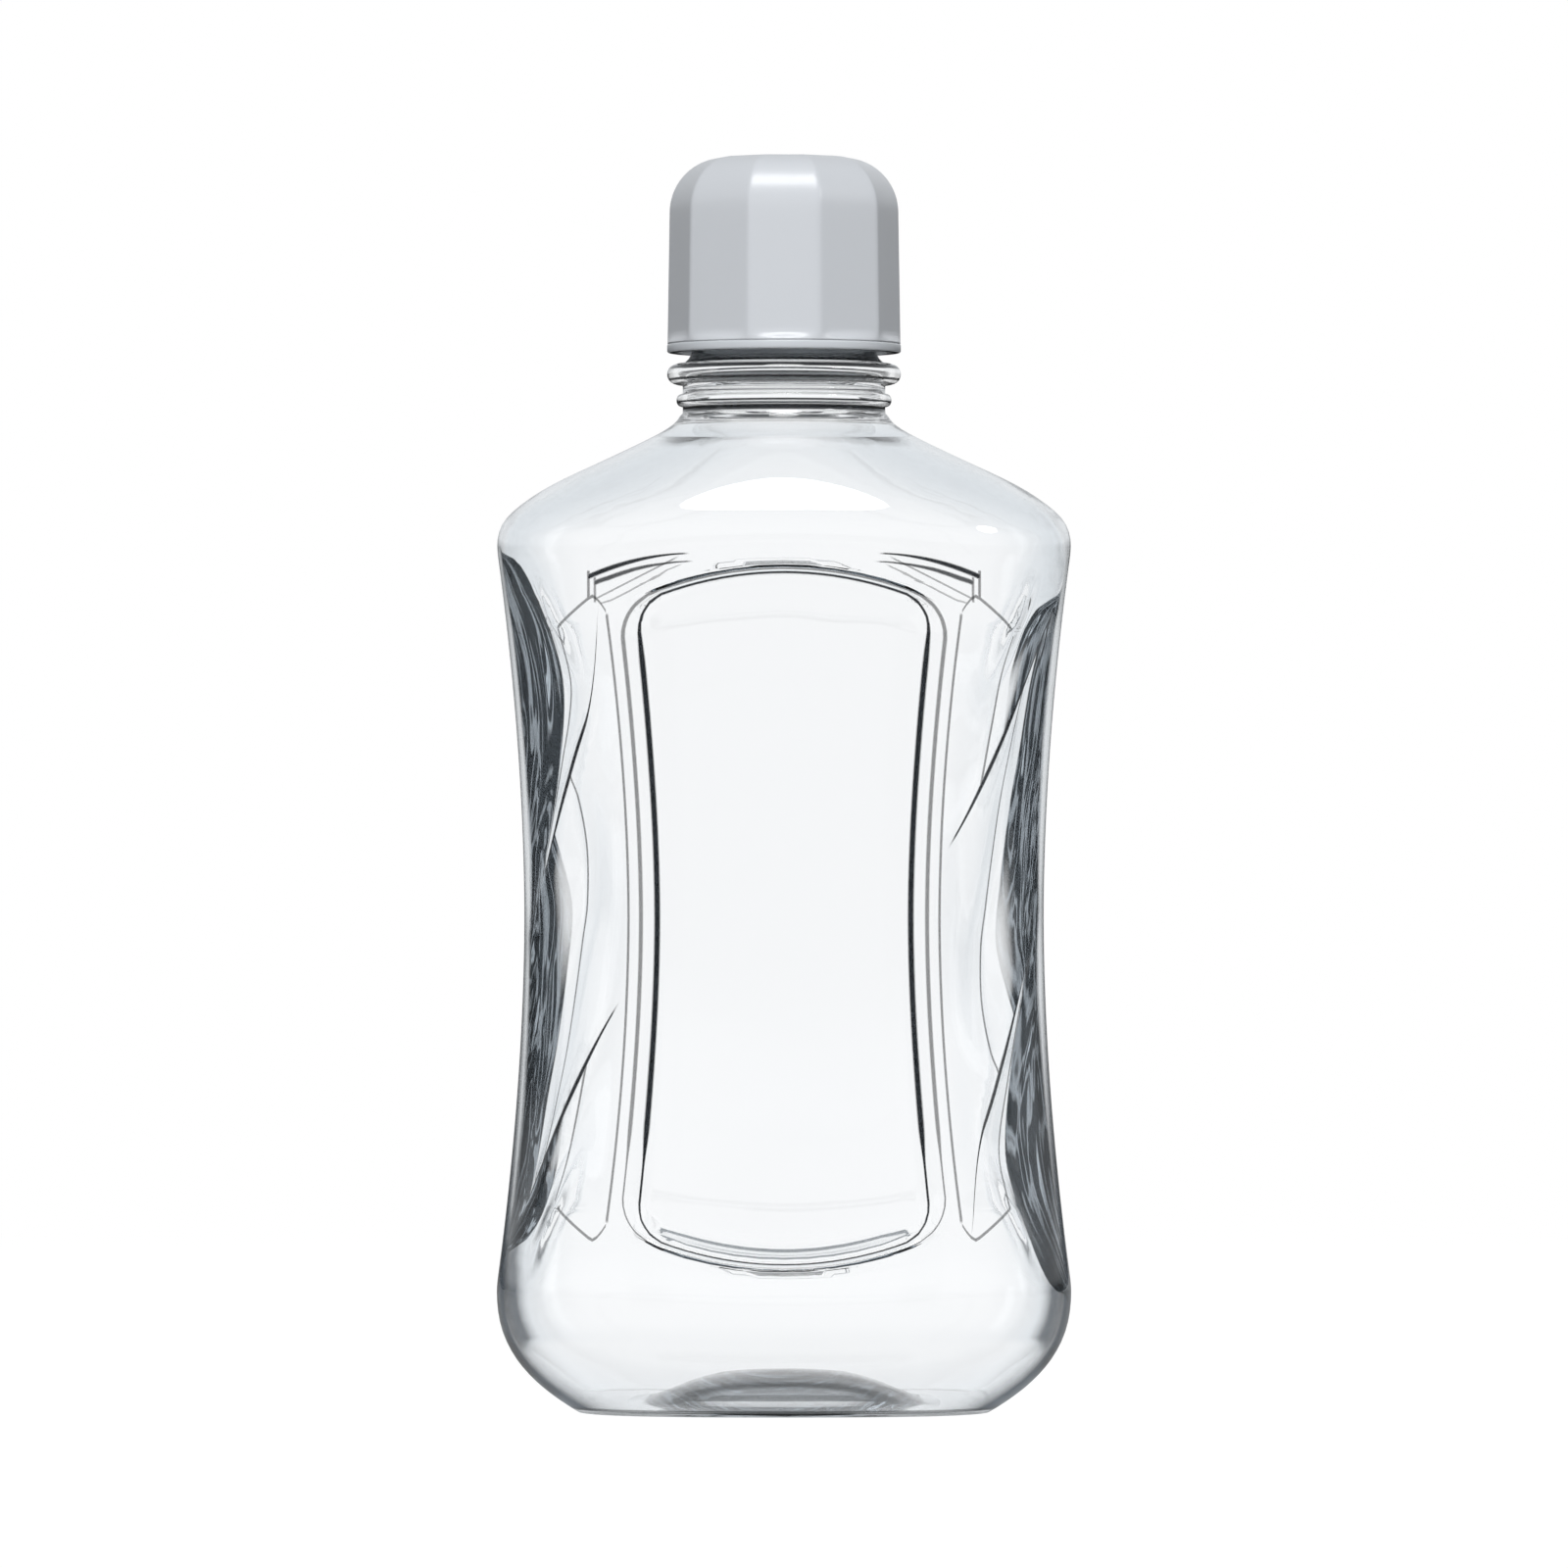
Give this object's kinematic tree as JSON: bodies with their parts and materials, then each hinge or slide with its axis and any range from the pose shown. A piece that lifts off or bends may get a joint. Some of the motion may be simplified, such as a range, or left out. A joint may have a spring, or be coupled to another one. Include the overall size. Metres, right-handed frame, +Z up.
{
  "type": "mouthwash bottle",
  "caption": "Clear waisted bottle with bare recessed panels, twisted corner grips, a beaded neck and a faceted screw cap that holds a measuring cup.",
  "frame": {"origin": "middle of the flat foot that the bottle stands on", "axes": "+Z up along the neck, X along the width, the front panel faces -Y"},
  "size_m": [0.11, 0.074, 0.24],
  "materials": {
    "clear_wall": "clear, polished",
    "cap_grey": "satin",
    "cup_grey": "satin",
    "seal": "soft, matt"
  },
  "bodies": {
    "bottle": {"bottle": "clear_wall"},
    "seal": {"seal_ring": "seal"},
    "cap": {"cap_shell": "cap_grey", "measuring_cup": "cup_grey"}
  },
  "joints": [
    {"name": "cap_lift", "type": "slide", "parent": "bottle", "child": "seal", "axis": [0, 0, 1], "range_m": [0, 0.0211]},
    {"name": "cap_turn", "type": "hinge", "parent": "seal", "child": "cap", "pos_m": [0, 0, 0.22], "axis": [0, 0, 1], "range_deg": [0, 900]}
  ],
  "couplings": [
    {"joint": "cap_lift", "follows": "cap_turn", "m_per_rad": 0.0013369}
  ]
}
